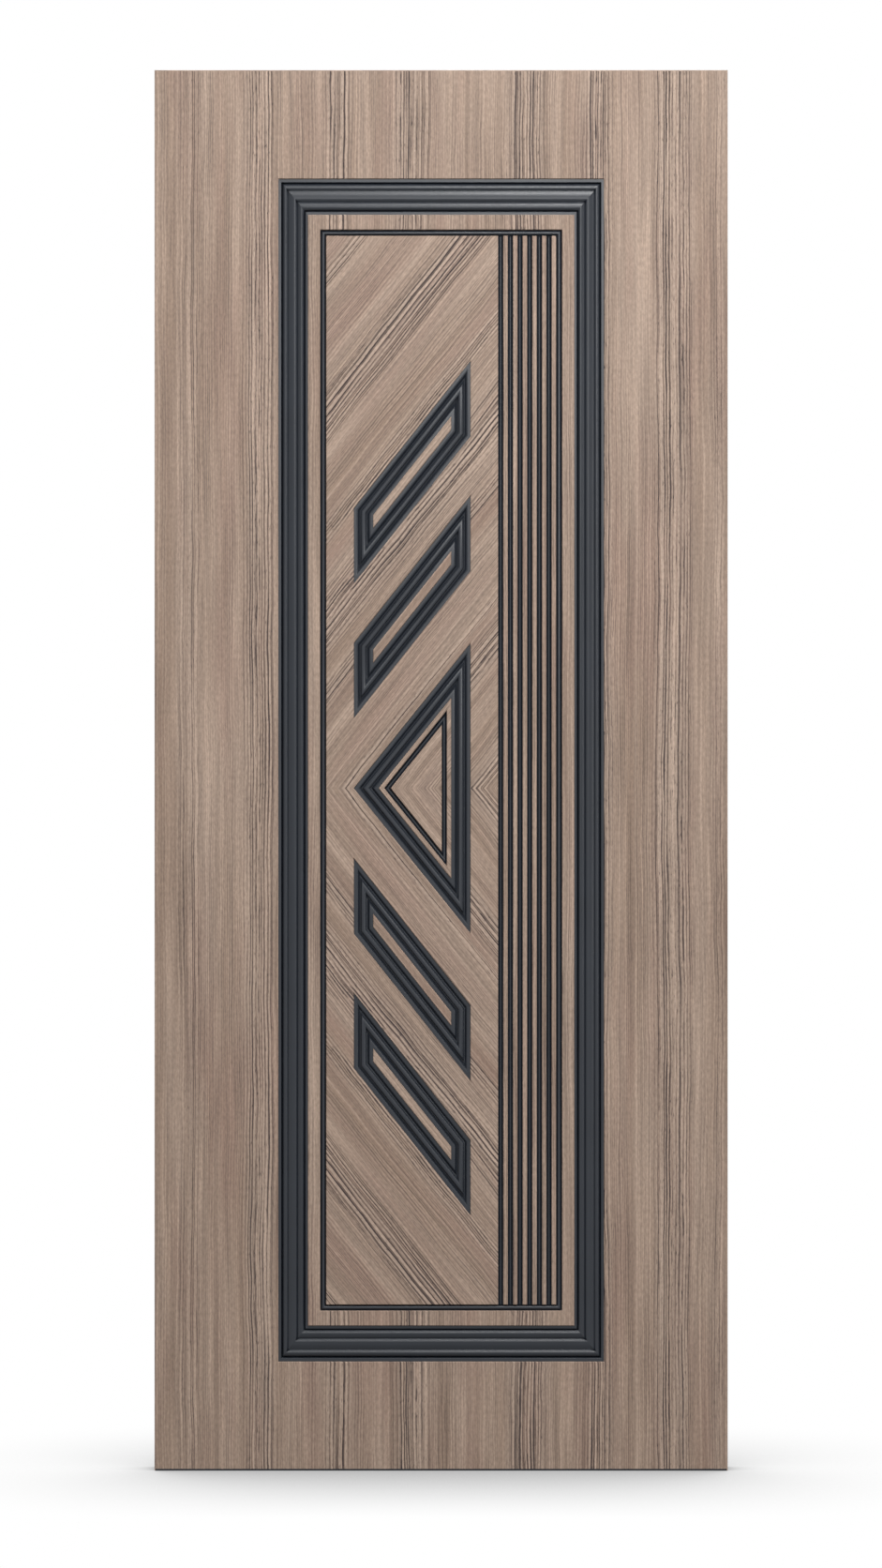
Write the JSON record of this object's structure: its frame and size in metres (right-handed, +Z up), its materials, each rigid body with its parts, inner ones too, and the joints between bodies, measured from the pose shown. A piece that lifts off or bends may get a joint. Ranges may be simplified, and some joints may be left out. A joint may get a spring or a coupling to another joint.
{
  "type": "composite door leaf",
  "caption": "Flush composite door leaf with a stepped dark moulding round a chevron-grain panel of dark parallelograms and a triangle, beside a reeded strip.",
  "frame": {"origin": "bottom of the hinge edge, in the middle of the leaf's thickness", "axes": "+X across the leaf from hinge edge to lock edge, +Z up, the pictured face looks to -Y"},
  "size_m": [0.86, 0.044, 2.1],
  "materials": {
    "wood_decor": "matt grey-brown textured wood decor",
    "anthracite_lacquer": "satin anthracite lacquer",
    "core_board": "raw composite board, covered all round"
  },
  "bodies": {
    "root": {"back_bead_frame": "anthracite_lacquer", "back_border": "wood_decor", "back_facing": "wood_decor", "back_lozenge_1_moulding": "anthracite_lacquer", "back_lozenge_2_moulding": "anthracite_lacquer", "back_lozenge_3_moulding": "anthracite_lacquer", "back_lozenge_4_moulding": "anthracite_lacquer", "back_lozenge_infills": "wood_decor", "back_moulding_bottom": "anthracite_lacquer", "back_moulding_hinge_side": "anthracite_lacquer", "back_moulding_lock_side": "anthracite_lacquer", "back_moulding_top": "anthracite_lacquer", "back_panel_lower": "wood_decor", "back_panel_upper": "wood_decor", "back_reed_beads": "anthracite_lacquer", "back_reed_slats": "wood_decor", "back_triangle_bead": "anthracite_lacquer", "back_triangle_border": "wood_decor", "back_triangle_infill": "wood_decor", "back_triangle_moulding": "anthracite_lacquer", "bottom_edge_band": "anthracite_lacquer", "core": "core_board", "front_bead_frame": "anthracite_lacquer", "front_border": "wood_decor", "front_facing": "wood_decor", "front_lozenge_1_moulding": "anthracite_lacquer", "front_lozenge_2_moulding": "anthracite_lacquer", "front_lozenge_3_moulding": "anthracite_lacquer", "front_lozenge_4_moulding": "anthracite_lacquer", "front_lozenge_infills": "wood_decor", "front_moulding_bottom": "anthracite_lacquer", "front_moulding_hinge_side": "anthracite_lacquer", "front_moulding_lock_side": "anthracite_lacquer", "front_moulding_top": "anthracite_lacquer", "front_panel_lower": "wood_decor", "front_panel_upper": "wood_decor", "front_reed_beads": "anthracite_lacquer", "front_reed_slats": "wood_decor", "front_triangle_bead": "anthracite_lacquer", "front_triangle_border": "wood_decor", "front_triangle_infill": "wood_decor", "front_triangle_moulding": "anthracite_lacquer", "hinge_edge_band": "wood_decor", "lock_edge_band": "wood_decor", "top_edge_band": "wood_decor"}
  },
  "joints": []
}
